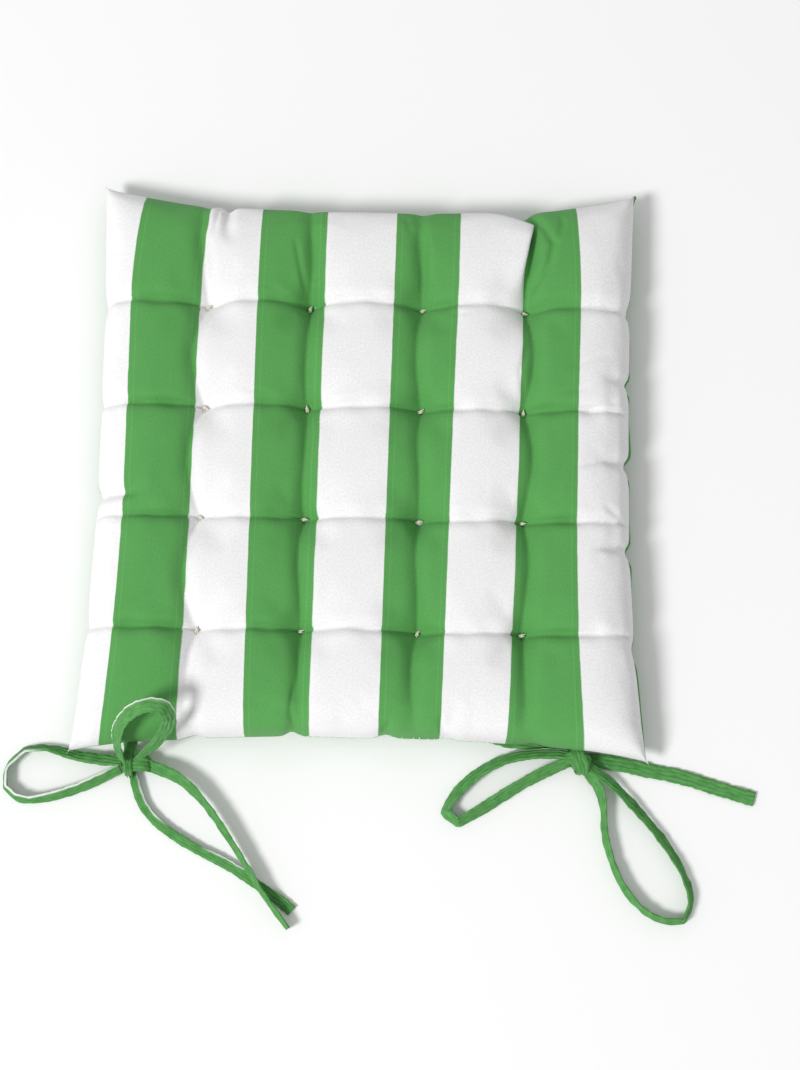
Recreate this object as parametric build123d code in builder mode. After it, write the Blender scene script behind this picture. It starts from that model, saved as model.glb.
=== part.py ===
"""Tufted chair seat pad with two pairs of fabric ties, each pair tied in a bow.

The frame: millimetres, +Z up, the pad lies on z = 0 with its middle at the origin.
-Y is the rear edge, where the ties are sewn in. +X is the right-hand side.
"""

import os
from math import radians, tan

from build123d import *

# The pad
front_half_width = 190
rear_half_width = 198
middle_half_width = 186
half_depth = 204
edge_half_depth = 189
shoulder_share = 0.72
ear_bend_share = 0.87
shoulder_draw_in = 1.5
ear_draw_in = 7
seam_height = 15
upper_levels = [(26, 2.5), (36, 9), (43, 20), (47, 36), (48.5, 60)]
lower_levels = [(0, 40), (2.5, 26), (6.5, 15), (11, 6)]
cloth_thickness = 0.8

# The seam that joins the two panels
allowance_width = 10
allowance_thickness = 1.6
seam_thread_inset = 4
seam_thread_size = 0.8

# The tufts, four rows of four
tuft_columns = [-111, -40, 39, 110]
tuft_rows = [-119, -41, 37, 110]
top_tuft_level = 29
bottom_tuft_level = 6
dimple_reach = 36
dimple_radius = 30
dimple_centre_height = 20
lower_dimple_floor_radius = 5
lower_dimple_mouth_radius = 18
tuft_band = (4.4, 1.0)
tuft_bar = (5.4, 1.8)
tuft_bar_height = 0.9

# The hand-closed gap in the rear seam
closing_start = -40
closing_end = 95
closing_pitch = 4.5
closing_stitch = (0.9, 2.4, 3.6)

# The ties
tie_width = 10
tie_thickness = 2
knot_radius = 7
knot_height = 16
knot_rounding = 4
moving_gap = 0.3
stem_root_inset = 9
stem_drop_start = 4
stem_end_height = 9
tie_stitching = (8, 1)
tie_stitching_inset = 5
left_knot_place = (-154, -208)
right_knot_place = (150, -201)
left_loop_height = 6
right_loop_height = 8
flat_tape_height = tie_thickness / 2
front_tail_height = tie_thickness + moving_gap + tie_width / 2
standing_loop_tilt = 60
standing_loop_height = 17
cutter_size = 500

# Where each stretch of tape runs, from its knot outwards
left_outer_loop_route = [
    (-160, -207),
    (-178, -206),
    (-195, -203),
    (-212, -198),
    (-228, -200),
    (-239, -210),
    (-240, -224),
    (-228, -234),
    (-212, -233),
    (-195, -228),
    (-178, -221),
    (-161, -212),
]
left_standing_loop_route = [
    (-4, 2),
    (-3, 14),
    (-2, 28),
    (4, 44),
    (14, 57),
    (26, 64),
    (35, 58),
    (36, 43),
    (28, 29),
    (18, 17),
    (6, 6),
]
left_over_tail_route = [
    (-149, -208),
    (-133, -212),
    (-117, -220),
    (-103, -234),
    (-91, -250),
    (-80, -266),
    (-69, -283),
    (-57, -301),
    (-44, -317),
]
left_under_tail_route = [
    (-153, -214),
    (-149, -231),
    (-139, -245),
    (-124, -256),
    (-106, -266),
    (-88, -274),
    (-71, -284),
    (-56, -294),
    (-42, -305),
]
right_inner_loop_route = [
    (144, -197),
    (131, -196),
    (116, -197),
    (101, -200),
    (87, -207),
    (75, -216),
    (65, -227),
    (61, -238),
    (70, -243),
    (83, -236),
    (98, -226),
    (114, -216),
    (129, -208),
    (144, -202),
]
right_lower_loop_route = [
    (154, -203),
    (168, -211),
    (182, -224),
    (197, -240),
    (211, -257),
    (222, -275),
    (228, -293),
    (222, -307),
    (208, -308),
    (193, -300),
    (181, -286),
    (173, -268),
    (168, -249),
    (168, -230),
    (163, -215),
    (153, -205),
]
right_long_tail_route = [
    (155, -199),
    (175, -201),
    (199, -206),
    (223, -210),
    (248, -218),
    (271, -224),
]
right_short_tail_route = [
    (145, -196),
    (131, -191),
    (117, -189),
    (103, -190),
    (90, -187),
    (77, -183),
]


def side(corner_a, corner_b, draw_in, along_x):
    """One edge of the pad's outline: nearly straight, and flaring out to the two corner ears."""
    middle = tuple((a + b) / 2 for a, b in zip(corner_a, corner_b))
    axis = 1 if along_x else 0
    inwards = -1 if middle[axis] > 0 else 1

    def place(share, depth):
        point = [m + share * (b - m) for m, b in zip(middle, corner_b)]
        point[axis] += inwards * depth
        return tuple(point)

    shoulder = draw_in - shoulder_draw_in
    ear = ear_draw_in * draw_in / (half_depth - edge_half_depth)
    ThreePointArc(corner_a, place(-ear_bend_share, ear), place(-shoulder_share, shoulder))
    ThreePointArc(place(-shoulder_share, shoulder), place(0, draw_in), place(shoulder_share, shoulder))
    ThreePointArc(place(shoulder_share, shoulder), place(ear_bend_share, ear), corner_b)


def pad_outline(inset):
    """The pad's outline seen from above, drawn in all round by the inset."""
    front, rear, depth = front_half_width - inset, rear_half_width - inset, half_depth - inset
    rear_left, rear_right = (-rear, -depth), (rear, -depth)
    front_right, front_left = (front, depth), (-front, depth)
    side_draw_in = (front_half_width + rear_half_width) / 2 - middle_half_width
    end_draw_in = half_depth - edge_half_depth
    with BuildLine() as outline:
        side(rear_left, rear_right, end_draw_in, True)
        side(rear_right, front_right, side_draw_in, False)
        side(front_right, front_left, end_draw_in, True)
        side(front_left, rear_left, side_draw_in, False)
    make_face(outline.edges())


def at_tufts():
    """The sixteen places of the tufts, seen from above."""
    return Locations(*[(x, y) for y in tuft_rows for x in tuft_columns])


def upper_dimple(skin):
    """A round-shouldered funnel that a tuft pulls into the top."""
    floor = top_tuft_level - skin
    radius = dimple_radius - skin
    start = dimple_reach - (radius**2 - (floor - dimple_centre_height) ** 2) ** 0.5
    peak = (dimple_reach, dimple_centre_height + radius)
    lid = dimple_centre_height + 2 * dimple_radius
    with BuildSketch(Plane.XZ) as profile:
        with BuildLine():
            Line((0, floor), (start, floor))
            RadiusArc((start, floor), peak, radius)
            Polyline(peak, (dimple_reach, lid), (0, lid), (0, floor))
        make_face()
    return profile.sketch


def lower_dimple(skin):
    """A shallow cone that the same tuft pulls into the underside."""
    floor = bottom_tuft_level + skin
    slope = (lower_dimple_mouth_radius - lower_dimple_floor_radius) / bottom_tuft_level
    below = 2 * bottom_tuft_level
    with BuildSketch(Plane.XZ) as profile:
        with BuildLine():
            Polyline(
                (0, floor),
                (lower_dimple_floor_radius + skin, floor),
                (lower_dimple_floor_radius + skin + slope * (floor + below), -below),
                (0, -below),
                close=True,
            )
        make_face()
    return profile.sketch


def pad_form(skin):
    """The stuffed pad's solid, drawn in all round by the skin's thickness."""
    levels = [(z + skin, inset + skin) for z, inset in lower_levels]
    levels += [(seam_height, skin)]
    levels += [(z - skin, inset + skin) for z, inset in upper_levels]
    with BuildPart() as dimples:
        revolve(upper_dimple(skin), Axis.Z)
        revolve(lower_dimple(skin), Axis.Z)
    with BuildPart() as form:
        for z, inset in levels:
            with BuildSketch(Plane.XY.offset(z)):
                pad_outline(inset)
        loft(ruled=True)
        with at_tufts():
            add(dimples.part, mode=Mode.SUBTRACT)
    return form.part


def outline_ring(outer_inset, inner_inset, low, high):
    """A flat ring that follows the pad's outline between two insets."""
    with BuildPart() as ring:
        with BuildSketch(Plane.XY.offset(low)):
            pad_outline(outer_inset)
        extrude(amount=high - low)
        with BuildSketch(Plane.XY.offset(low)):
            pad_outline(inner_inset)
        extrude(amount=high - low, mode=Mode.SUBTRACT)
    return ring.part


def rear_edge(x):
    """How far back the rear seam lies at a place between its shoulder and its ear."""
    shoulder = shoulder_share * rear_half_width
    along = (abs(x) - shoulder) / (rear_half_width - shoulder)
    start = edge_half_depth + shoulder_draw_in
    return -(start + (half_depth - start) * along)


def finish(piece, name):
    """Names a piece and writes it to its own file."""
    piece.part.label = name
    export_step(piece.part, f"parts/{name}.step")


def make_stem(knot_place):
    """The stretch of tape from the seam down to the knot."""
    x, knot_y = knot_place
    edge = rear_edge(x)
    end = knot_y + knot_radius + moving_gap
    with BuildPart() as stem:
        with BuildLine(Plane.YZ.offset(x)) as route:
            Polyline(
                (edge + stem_root_inset, seam_height),
                (edge + stem_drop_start, seam_height),
                (end, stem_end_height),
            )
        with BuildSketch(Plane(origin=route.line @ 0, x_dir=(1, 0, 0), z_dir=route.line % 0)):
            Rectangle(tie_width, tie_thickness)
        sweep(path=route.line, transition=Transition.RIGHT)
        with BuildSketch(Plane.XY) as behind:
            with Locations((x, end - cutter_size / 2)):
                Rectangle(cutter_size, cutter_size)
        extrude(behind.sketch, amount=cutter_size, mode=Mode.SUBTRACT)
    return stem


def make_tie_stitching(knot_place):
    """The row of stitches that holds a stem between the panels' allowances."""
    x = knot_place[0]
    y = rear_edge(x) + tie_stitching_inset
    with BuildPart() as stitching:
        with BuildSketch(Plane.XY.offset(seam_height - allowance_thickness)):
            with Locations((x, y)):
                SlotOverall(*tie_stitching)
        extrude(amount=2 * allowance_thickness)
    return stitching


def make_knot(knot_place, gap=0):
    """The wrapped middle of a bow, as a drum with round rims."""
    with BuildPart() as knot:
        with BuildSketch(Plane.XY.offset(-gap)):
            with Locations(knot_place):
                Circle(knot_radius + gap)
        extrude(amount=knot_height + 2 * gap)
        fillet(knot.edges().filter_by(GeomType.CIRCLE), knot_rounding)
    return knot


# How much of the shorter run beside a corner its arc may take up, just under half
arc_share_of_run = 0.45


def corner_radii(points):
    """The arc at each corner of a route, as large as its two runs allow."""
    places = [Vector(*point) for point in points]
    radii = []
    for before, corner, after in zip(places, places[1:], places[2:]):
        turn = (corner - before).get_angle(after - corner)
        shorter = min((corner - before).length, (after - corner).length)
        radii.append(arc_share_of_run * shorter / tan(radians(turn / 2)))
    return radii


def make_tape(name, points, plane, lies_flat, knot):
    """A stretch of tape along its route, flat on its plane or on edge, ending against its knot."""
    radii = corner_radii(points)
    across = (tie_thickness, tie_width) if lies_flat else (tie_width, tie_thickness)
    with BuildPart() as tape:
        with BuildLine(plane) as route:
            FilletPolyline(*points, radius=radii)
        with BuildSketch(Plane(origin=route.line @ 0, x_dir=plane.z_dir, z_dir=route.line % 0)):
            Rectangle(*across)
        sweep(path=route.line)
        length = sum(edge.length for edge in route.edges())
        share = tape.part.volume / (tie_width * tie_thickness * length)
        add(knot.part, mode=Mode.SUBTRACT)
    print(f"{name}: {length:.0f} mm long, volume share {share:.4f}, radii", [round(r, 1) for r in radii])
    finish(tape, name)
    return tape


def tuft_name(row, column):
    """Rows count from the rear edge and columns from the left."""
    return f"tuft_row{row + 1}_column{column + 1}"


def make_tufts():
    """Sixteen bar tacks: a band of thread through the pad with a bar at each end."""
    for row, y in enumerate(tuft_rows):
        for column, x in enumerate(tuft_columns):
            with BuildPart() as tuft:
                for size, low, high in (
                    (tuft_bar, top_tuft_level, top_tuft_level + tuft_bar_height),
                    (tuft_band, bottom_tuft_level, top_tuft_level),
                    (tuft_bar, bottom_tuft_level - tuft_bar_height, bottom_tuft_level),
                ):
                    with BuildSketch(Plane.XY.offset(low)):
                        with Locations((x, y)):
                            SlotOverall(*size)
                    extrude(amount=high - low)
            finish(tuft, tuft_name(row, column))


def make_closing_stitches():
    """Overcast stitches across the rear seam where the filling went in."""
    count = int((closing_end - closing_start) / closing_pitch) + 1
    edge = -edge_half_depth
    with BuildPart() as stitches:
        for index in range(count):
            x = closing_start + index * closing_pitch
            with Locations((x, edge, seam_height)):
                Box(*closing_stitch)
    return stitches


os.makedirs("parts", exist_ok=True)
ground = Plane.XY

left_stem, right_stem = make_stem(left_knot_place), make_stem(right_knot_place)
left_stitching = make_tie_stitching(left_knot_place)
right_stitching = make_tie_stitching(right_knot_place)
closing_stitches = make_closing_stitches()
outer_form, inner_form = pad_form(0), pad_form(cloth_thickness)
allowance_low, allowance_high = seam_height - allowance_thickness, seam_height + allowance_thickness
allowance = outline_ring(-allowance_width, allowance_width, allowance_low, allowance_high)
half_thread = seam_thread_size / 2
seam_ring = outline_ring(
    seam_thread_inset, seam_thread_inset + seam_thread_size, seam_height - half_thread, seam_height + half_thread
)

with BuildPart() as seam_thread:
    add(seam_ring)
    for stem in (left_stem, right_stem):
        add(stem.part, mode=Mode.SUBTRACT)
    for stitching in (left_stitching, right_stitching):
        add(stitching.part, mode=Mode.SUBTRACT)

with BuildPart() as tuft_bands:
    with BuildSketch(Plane.XY):
        with at_tufts():
            SlotOverall(*tuft_band)
    extrude(amount=upper_levels[-1][0])

sewn_through = [left_stem, right_stem, left_stitching, right_stitching, tuft_bands]

with BuildPart() as fibre_filling:
    add(inner_form)
    add(allowance, mode=Mode.SUBTRACT)
    for stem in (left_stem, right_stem):
        add(stem.part, mode=Mode.SUBTRACT)
filling_space = fibre_filling.part

with BuildPart() as filling:
    add(filling_space)
    for piece in (tuft_bands, closing_stitches):
        add(piece.part, mode=Mode.SUBTRACT)

with BuildPart() as top_panel:
    add(outer_form)
    split(bisect_by=Plane.XY.offset(seam_height), keep=Keep.TOP)
    add(filling_space, mode=Mode.SUBTRACT)
    for piece in [*sewn_through, seam_thread, closing_stitches]:
        add(piece.part, mode=Mode.SUBTRACT)

with BuildPart() as bottom_panel:
    add(outer_form)
    split(bisect_by=Plane.XY.offset(seam_height), keep=Keep.BOTTOM)
    add(filling_space, mode=Mode.SUBTRACT)
    for piece in [*sewn_through, seam_thread, closing_stitches]:
        add(piece.part, mode=Mode.SUBTRACT)

for stem, stitching in ((left_stem, left_stitching), (right_stem, right_stitching)):
    with BuildPart() as sewn_stem:
        add(stem.part)
        add(stitching.part, mode=Mode.SUBTRACT)
    finish(sewn_stem, "left_tie_stem" if stem is left_stem else "right_tie_stem")

finish(top_panel, "top_panel")
finish(bottom_panel, "bottom_panel")
finish(filling, "fibre_filling")
finish(seam_thread, "seam_thread")
finish(closing_stitches, "closing_stitches")
finish(left_stitching, "left_tie_stitching")
finish(right_stitching, "right_tie_stitching")
make_tufts()

left_knot, right_knot = make_knot(left_knot_place), make_knot(right_knot_place)
left_clear = make_knot(left_knot_place, moving_gap)
right_clear = make_knot(right_knot_place, moving_gap)
finish(left_knot, "left_knot")
finish(right_knot, "right_knot")

left_loop_plane, right_loop_plane = ground.offset(left_loop_height), ground.offset(right_loop_height)
flat_plane = ground.offset(flat_tape_height)
standing_plane = Plane(
    origin=(*left_knot_place, standing_loop_height),
    x_dir=(1, 0, 0),
    z_dir=Vector(0, 0, 1).rotate(Axis.X, standing_loop_tilt),
)
make_tape("left_outer_loop", left_outer_loop_route, left_loop_plane, False, left_knot)
make_tape("left_standing_loop", left_standing_loop_route, standing_plane, False, left_knot)
make_tape("left_over_tail", left_over_tail_route, ground.offset(front_tail_height), False, left_clear)
make_tape("left_under_tail", left_under_tail_route, flat_plane, True, left_clear)
make_tape("right_inner_loop", right_inner_loop_route, right_loop_plane, False, right_knot)
make_tape("right_lower_loop", right_lower_loop_route, right_loop_plane, False, right_knot)
make_tape("right_short_tail", right_short_tail_route, flat_plane, True, right_knot)
make_tape("right_long_tail", right_long_tail_route, flat_plane, True, right_clear)
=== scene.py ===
# %% [markdown]
# # A tufted chair pad with two pairs of ties
# A chair pad is a flat bag of cotton cloth, filled with loose fibre and then sewn right through in
# sixteen places. The stitches pull the top down into dimples, so the cloth between them swells into
# cushions. Tapes sewn into the rear seam tie it to a chair.
# The solid model settles sizes, places and joints. This script gives it cloth, thread and light, and
# every piece is made in the solid model's own frame, so nothing needs fitting afterwards.

# %% Load the fixed frame
import math
import random

import bpy
import numpy as np
from mathutils import Matrix, Vector


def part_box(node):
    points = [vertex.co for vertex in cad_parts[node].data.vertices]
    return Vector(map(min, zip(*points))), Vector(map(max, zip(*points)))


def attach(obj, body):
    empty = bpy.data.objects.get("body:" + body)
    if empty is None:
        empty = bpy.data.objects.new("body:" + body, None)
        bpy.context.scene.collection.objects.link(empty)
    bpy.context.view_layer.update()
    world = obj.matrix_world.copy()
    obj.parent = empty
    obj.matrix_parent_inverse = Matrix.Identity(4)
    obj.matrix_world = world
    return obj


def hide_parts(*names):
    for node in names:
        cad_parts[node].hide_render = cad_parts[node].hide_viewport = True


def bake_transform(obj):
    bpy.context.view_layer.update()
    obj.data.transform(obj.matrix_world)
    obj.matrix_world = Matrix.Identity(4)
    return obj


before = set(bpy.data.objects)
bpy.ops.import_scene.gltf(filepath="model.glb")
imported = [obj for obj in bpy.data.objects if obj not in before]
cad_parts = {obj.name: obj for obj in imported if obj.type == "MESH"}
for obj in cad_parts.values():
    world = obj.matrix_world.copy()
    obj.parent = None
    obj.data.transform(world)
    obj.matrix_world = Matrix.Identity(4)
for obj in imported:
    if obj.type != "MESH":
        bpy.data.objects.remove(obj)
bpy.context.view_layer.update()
scene = bpy.context.scene

# %% [markdown]
# ## The camera
# The pad lies on a table and is seen from almost straight above, a little from the side of the ties.
# A camera can be aimed with a constraint, but three plain directions are easier to reason about:
# one towards the camera, one up the frame and one across it, with the small roll of a hand-held shot.

# %% Place the camera
camera_tilt = math.radians(12)
camera_roll = math.radians(1.1)
camera_distance = 1.5
camera_aim = Vector((0.026, -0.0443, 0.0))
camera_lens = 72.1

towards_camera = Vector((0, -math.sin(camera_tilt), math.cos(camera_tilt)))
level_up = Vector((0, math.cos(camera_tilt), math.sin(camera_tilt)))
level_right = Vector((1, 0, 0))
frame_right = level_right * math.cos(camera_roll) + level_up * math.sin(camera_roll)
frame_up = level_up * math.cos(camera_roll) - level_right * math.sin(camera_roll)

camera_data = bpy.data.cameras.new("camera")
camera_data.lens = camera_lens
camera_data.sensor_width = 36
camera_data.clip_start = 0.05
camera = bpy.data.objects.new("camera", camera_data)
scene.collection.objects.link(camera)
turn = Matrix((frame_right, frame_up, towards_camera)).transposed().to_4x4()
camera.matrix_world = Matrix.Translation(camera_aim + towards_camera * camera_distance) @ turn
scene.camera = camera
scene.view_settings.view_transform = "Standard"
print("camera stands at", [round(value, 3) for value in camera.matrix_world.translation])

# %% [markdown]
# ## Cloth and thread
# The top is woven in 50 mm stripes of green and white, each green one with two fine paler lines just
# inside its edges. Stripes could be painted or cut as separate pieces. Here they are computed from a
# map named "cut", which says where each point lay on the flat cloth before it was sewn and stuffed,
# so they bend and pinch as real stripes do. The weave is a bump from two crossing waves on the same map.

# %% Helpers for materials
def new_finish(name, roughness, sheen=0.0):
    """An empty cloth or thread finish with its even values set on the shader itself."""
    finish = bpy.data.materials.new(name)
    finish.use_nodes = True
    shader = finish.node_tree.nodes["Principled BSDF"]
    shader.inputs["Roughness"].default_value = roughness
    shader.inputs["Specular IOR Level"].default_value = 0.25
    shader.inputs["Sheen Weight"].default_value = sheen
    return finish, finish.node_tree, shader


def sum_node(tree, operation, first, second=None):
    """One Math node; each of its inputs is a number or another node's output."""
    node = tree.nodes.new("ShaderNodeMath")
    node.operation = operation
    for socket, value in zip(node.inputs, (first, second)):
        if value is None:
            continue
        if isinstance(value, (int, float)):
            socket.default_value = value
        else:
            tree.links.new(value, socket)
    return node.outputs[0]


def mix_colours(tree, share, first, second):
    """Blends two colours, each a tuple or another node's output."""
    node = tree.nodes.new("ShaderNodeMix")
    node.data_type = "RGBA"
    tree.links.new(share, node.inputs["Factor"])
    for socket, value in ((node.inputs["A"], first), (node.inputs["B"], second)):
        if isinstance(value, tuple):
            socket.default_value = (*value, 1)
        else:
            tree.links.new(value, socket)
    return node.outputs["Result"]


def cut_map(tree, name="cut"):
    """Where a point lay on the flat cloth, in metres: its across and along outputs."""
    source = tree.nodes.new("ShaderNodeUVMap")
    source.uv_map = name
    split = tree.nodes.new("ShaderNodeSeparateXYZ")
    tree.links.new(source.outputs[0], split.inputs[0])
    return source.outputs[0], split.outputs[0], split.outputs[1]


def soft_patches(tree, place, scale, detail=3.0):
    """Slow, cloudy noise between 0 and 1."""
    noise = tree.nodes.new("ShaderNodeTexNoise")
    noise.inputs["Scale"].default_value = scale
    noise.inputs["Detail"].default_value = detail
    tree.links.new(place, noise.inputs["Vector"])
    return noise.outputs[0]


def bump_from(tree, shader, height, strength, depth):
    """Turns a height between 0 and 1 into a bump of the given depth, in metres."""
    bump = tree.nodes.new("ShaderNodeBump")
    bump.inputs["Strength"].default_value = strength
    bump.inputs["Distance"].default_value = depth
    tree.links.new(height, bump.inputs["Height"])
    tree.links.new(bump.outputs[0], shader.inputs["Normal"])


def woven(tree, shader, colour, place, across, along, thread, depth, strength):
    """Crossing threads and small unevenness, as a bump and as a slight change of shade."""
    warp = sum_node(tree, "SINE", sum_node(tree, "MULTIPLY", across, 2 * math.pi / thread))
    weft = sum_node(tree, "SINE", sum_node(tree, "MULTIPLY", along, 2 * math.pi / thread))
    threads = sum_node(tree, "MULTIPLY", warp, weft)
    fuzz = soft_patches(tree, place, 620.0, 2.0)
    height = sum_node(tree, "ADD", sum_node(tree, "MULTIPLY", threads, 0.3), fuzz)
    shade = mix_colours(tree, height, (0.84, 0.84, 0.84), (1.10, 1.10, 1.10))
    product = tree.nodes.new("ShaderNodeMix")
    product.data_type = "RGBA"
    product.blend_type = "MULTIPLY"
    product.inputs["Factor"].default_value = 1.0
    tree.links.new(colour, product.inputs["A"])
    tree.links.new(shade, product.inputs["B"])
    tree.links.new(product.outputs["Result"], shader.inputs["Base Color"])
    bump_from(tree, shader, height, strength, depth)


# %% The striped cloth
stripe_pitch = 0.100
stripe_width = 0.050
first_green_start = 0.183
leaf_green = (0.104, 0.362, 0.092)
pale_green = (0.150, 0.430, 0.135)
deep_green = (0.088, 0.326, 0.078)
cotton_white = (0.885, 0.876, 0.882)
shade_white = (0.835, 0.826, 0.833)
edge_softness = 0.0004
stripe_wobble = 0.0009
pin_line_inset = 0.0045
pin_line_half_width = 0.00045
weave_pitch = 0.0011
weave_depth = 0.0003
weave_strength = 0.5


def striped_cloth_finish():
    """The top's cloth: green stripes on white, with the fine pale lines and the weave."""
    finish, tree, shader = new_finish("striped cotton", 0.86, 0.08)
    place, across, along = cut_map(tree)
    wobble = sum_node(tree, "MULTIPLY", soft_patches(tree, place, 60.0), stripe_wobble)
    start = first_green_start - stripe_wobble / 2
    shifted = sum_node(tree, "ADD", sum_node(tree, "ADD", across, start), wobble)
    phase = sum_node(tree, "FLOORED_MODULO", shifted, stripe_pitch)
    off_middle = sum_node(tree, "ABSOLUTE", sum_node(tree, "SUBTRACT", phase, stripe_width / 2))
    inside = sum_node(tree, "SUBTRACT", stripe_width / 2, off_middle)
    green_share = sum_node(tree, "DIVIDE", sum_node(tree, "ADD", inside, edge_softness), 2 * edge_softness)
    clamp = tree.nodes.new("ShaderNodeClamp")
    tree.links.new(green_share, clamp.inputs[0])
    line = sum_node(tree, "ABSOLUTE", sum_node(tree, "SUBTRACT", inside, pin_line_inset))
    line_share = sum_node(tree, "MULTIPLY", sum_node(tree, "LESS_THAN", line, pin_line_half_width), 0.35)
    clouds = soft_patches(tree, place, 35.0)
    green = mix_colours(tree, clouds, deep_green, leaf_green)
    green = mix_colours(tree, line_share, green, pale_green)
    white = mix_colours(tree, soft_patches(tree, place, 22.0), shade_white, cotton_white)
    colour = mix_colours(tree, clamp.outputs[0], white, green)
    woven(tree, shader, colour, place, across, along, weave_pitch, weave_depth, weave_strength)
    return finish


def plain_cloth_finish(name, dark, light):
    """Cloth of one colour in the same weave."""
    finish, tree, shader = new_finish(name, 0.88, 0.08)
    place, across, along = cut_map(tree)
    clouds = soft_patches(tree, place, 40.0)
    colour = mix_colours(tree, clouds, dark, light)
    woven(tree, shader, colour, place, across, along, weave_pitch, weave_depth, weave_strength)
    return finish


striped_cotton = striped_cloth_finish()
green_cotton = plain_cloth_finish("green cotton back", deep_green, leaf_green)
print("cloth finishes:", striped_cotton.name, "and", green_cotton.name)

# %% The tape cloth
def tape_finish():
    """Green folded tape with painted highlight and painted shade in lengthwise streaks along its crinkles;
    the raw edge where the stripe's white begins shows as a pale line.
    """
    finish, tree, shader = new_finish("tape cotton", 0.88, 0.08)
    place, across, along = cut_map(tree)
    raw_edge = tree.nodes.new("ShaderNodeAttribute")
    raw_edge.attribute_name = "raw_edge"
    pulled = tree.nodes.new("ShaderNodeCombineXYZ")
    tree.links.new(sum_node(tree, "MULTIPLY", across, 150.0), pulled.inputs[0])
    tree.links.new(sum_node(tree, "MULTIPLY", along, 620.0), pulled.inputs[1])
    # Lengthwise streaks of painted highlight and painted shade, standing for the light on the tape's
    # crinkles
    crinkle_light_and_shade = sum_node(tree, "POWER", soft_patches(tree, pulled.outputs[0], 1.0), 1.4)
    green = mix_colours(tree, crinkle_light_and_shade, (0.040, 0.190, 0.036), (0.175, 0.480, 0.150))
    colour = mix_colours(tree, raw_edge.outputs["Fac"], green, (0.80, 0.82, 0.79))
    woven(tree, shader, colour, place, across, along, 0.0010, weave_depth, weave_strength)
    return finish


def thread_finish(name, dark, light):
    """Twisted thread: fine slanting ridges and a little uneven dye."""
    finish, tree, shader = new_finish(name, 0.7, 0.05)
    source = tree.nodes.new("ShaderNodeTexCoord")
    clouds = soft_patches(tree, source.outputs["Object"], 500.0)
    tree.links.new(mix_colours(tree, clouds, dark, light), shader.inputs["Base Color"])
    twist = tree.nodes.new("ShaderNodeTexWave")
    twist.bands_direction = "DIAGONAL"
    twist.inputs["Scale"].default_value = 900.0
    tree.links.new(source.outputs["Object"], twist.inputs["Vector"])
    bump_from(tree, shader, twist.outputs[1], 0.4, 0.0002)
    return finish


tape_cotton = tape_finish()
cream_thread = thread_finish("cream tuft thread", (0.62, 0.60, 0.47), (0.82, 0.80, 0.68))
white_thread = thread_finish("white sewing thread", (0.74, 0.74, 0.72), (0.88, 0.88, 0.86))
green_thread = thread_finish("green sewing thread", deep_green, leaf_green)
print("thread finishes:", cream_thread.name, white_thread.name, green_thread.name)

# %% [markdown]
# ## The ties
# Each tie is a 10 mm tape folded from the same cloth, tied in a simple bow. A tape isn't a round
# cord: it has a flat face, it can lie down or stand on its edge, and it twists between the two.
# A bevelled curve would do for a cord, but here each tape is a mesh of its own: its route is a smooth
# spline, and at every step along it the tape has its own width and tilt, so it can narrow in the
# knot, turn over and crinkle.

# %% Follow a route
def smooth_route(name, corners):
    """Closely spaced points along the smooth line that the route's corners shape."""
    curve = bpy.data.curves.new(name + "_route", "CURVE")
    curve.dimensions = "3D"
    curve.resolution_u = 16
    spline = curve.splines.new("NURBS")
    spline.points.add(len(corners) - 1)
    for point, corner in zip(spline.points, corners):
        point.co = (*corner, 1)
    spline.order_u = 3
    spline.use_endpoint_u = True
    holder = bpy.data.objects.new(name + "_route", curve)
    drawn = bpy.data.meshes.new_from_object(holder)
    line = np.array([vertex.co for vertex in drawn.vertices])
    bpy.data.meshes.remove(drawn)
    bpy.data.objects.remove(holder)
    bpy.data.curves.remove(curve)
    return line


def even_steps(line, step):
    """The same line with its points the same distance apart."""
    runs = np.linalg.norm(np.diff(line, axis=0), axis=1)
    travelled = np.concatenate([[0], np.cumsum(runs)])
    count = max(4, int(round(travelled[-1] / step)))
    stations = np.linspace(0, travelled[-1], count + 1)
    return np.stack([np.interp(stations, travelled, line[:, axis]) for axis in range(3)], axis=1)


def line_length(line):
    return float(np.linalg.norm(np.diff(line, axis=0), axis=1).sum())


def uneven_wave(seed, positions, wavelengths):
    """A smooth, irregular wave between about -1 and 1, the same on every run."""
    draw = random.Random(seed)
    total = np.zeros(len(positions))
    for wavelength in wavelengths:
        size = draw.uniform(0.6, 1.0)
        total += size * np.sin(2 * math.pi * (positions / wavelength + draw.random()))
    return total / len(wavelengths)


def unit(vectors):
    return vectors / np.maximum(np.linalg.norm(vectors, axis=-1, keepdims=True), 1e-12)


# %% Helpers for meshes
def new_piece(name, places, faces, finish):
    """A mesh object. Faces with four corners are shaded smooth, and end caps stay flat."""
    mesh = bpy.data.meshes.new(name)
    mesh.from_pydata([tuple(place) for place in places], [], faces)
    for polygon in mesh.polygons:
        polygon.use_smooth = len(polygon.vertices) == 4
    mesh.materials.append(finish)
    piece = bpy.data.objects.new(name, mesh)
    scene.collection.objects.link(piece)
    return piece


def tube_faces(count, size, closed=False, start=0):
    """The faces of a tube with count rings of size points each, capped unless it is closed."""
    faces = []
    for station in range(count if closed else count - 1):
        low, high = start + station * size, start + (station + 1) % count * size
        for spot in range(size):
            beside = (spot + 1) % size
            faces.append((low + spot, low + beside, high + beside, high + spot))
    if not closed:
        faces.append(tuple(range(start, start + size))[::-1])
        faces.append(tuple(range(start + (count - 1) * size, start + count * size)))
    return faces


def put_on_map(mesh, name, places):
    """A map that keeps where each point of the mesh lay on the flat cloth."""
    flat = mesh.uv_layers.new(name=name)
    for loop in mesh.loops:
        flat.data[loop.index].uv = places[loop.vertex_index]


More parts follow.
